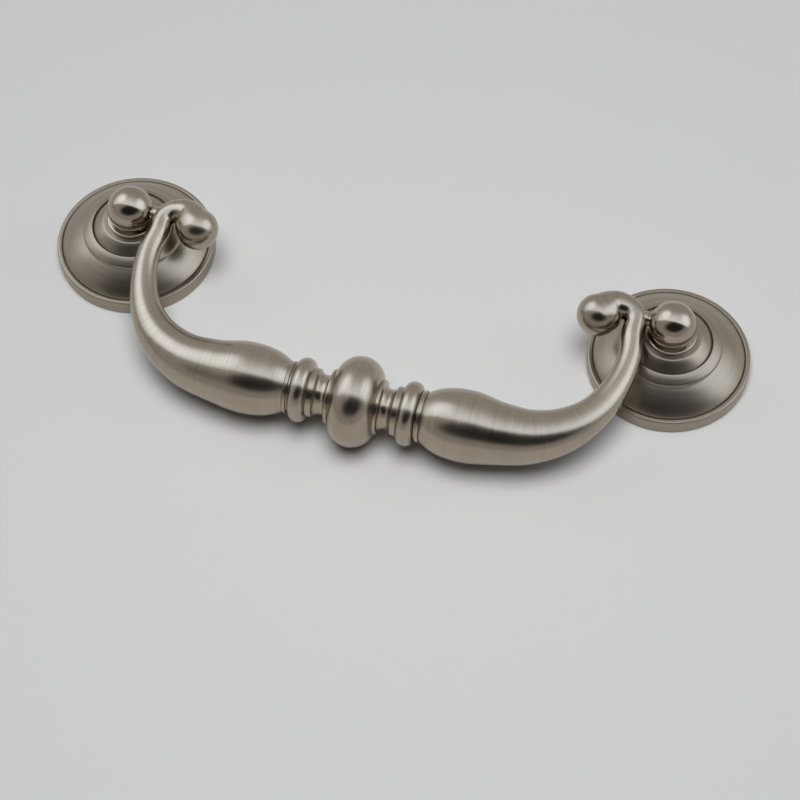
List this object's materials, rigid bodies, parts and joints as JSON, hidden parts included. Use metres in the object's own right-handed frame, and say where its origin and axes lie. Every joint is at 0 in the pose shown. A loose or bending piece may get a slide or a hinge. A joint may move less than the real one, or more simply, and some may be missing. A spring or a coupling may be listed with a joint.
{
  "type": "drop pull",
  "caption": "Cabinet drop pull: a cast bail with a turned centre bulb swings on pins between ball-headed posts that stand on stepped round rosettes.",
  "frame": {"origin": "midway between the two screw holes, on the mounting plane at the backs of the rosettes", "axes": "+X along the pivot axis, the bail hangs towards -Y, +Z out of the drawer front"},
  "size_m": [0.1238, 0.0474, 0.0158],
  "materials": {
    "rosette_nickel": "satin nickel plate with fine concentric brushing",
    "post_nickel": "satin nickel plate, smooth ball head",
    "bail_nickel": "satin nickel plate, brushed round the section"
  },
  "bodies": {
    "fixed_side": {"left_rosette": "rosette_nickel", "right_rosette": "rosette_nickel", "left_post": "post_nickel", "right_post": "post_nickel"},
    "bail": {"bail": "bail_nickel"}
  },
  "joints": [
    {"name": "bail_swing", "type": "hinge", "parent": "fixed_side", "child": "bail", "pos_m": [0, 0, 0.01175], "axis": [-1, 0, 0], "range_deg": [0, 197]}
  ]
}
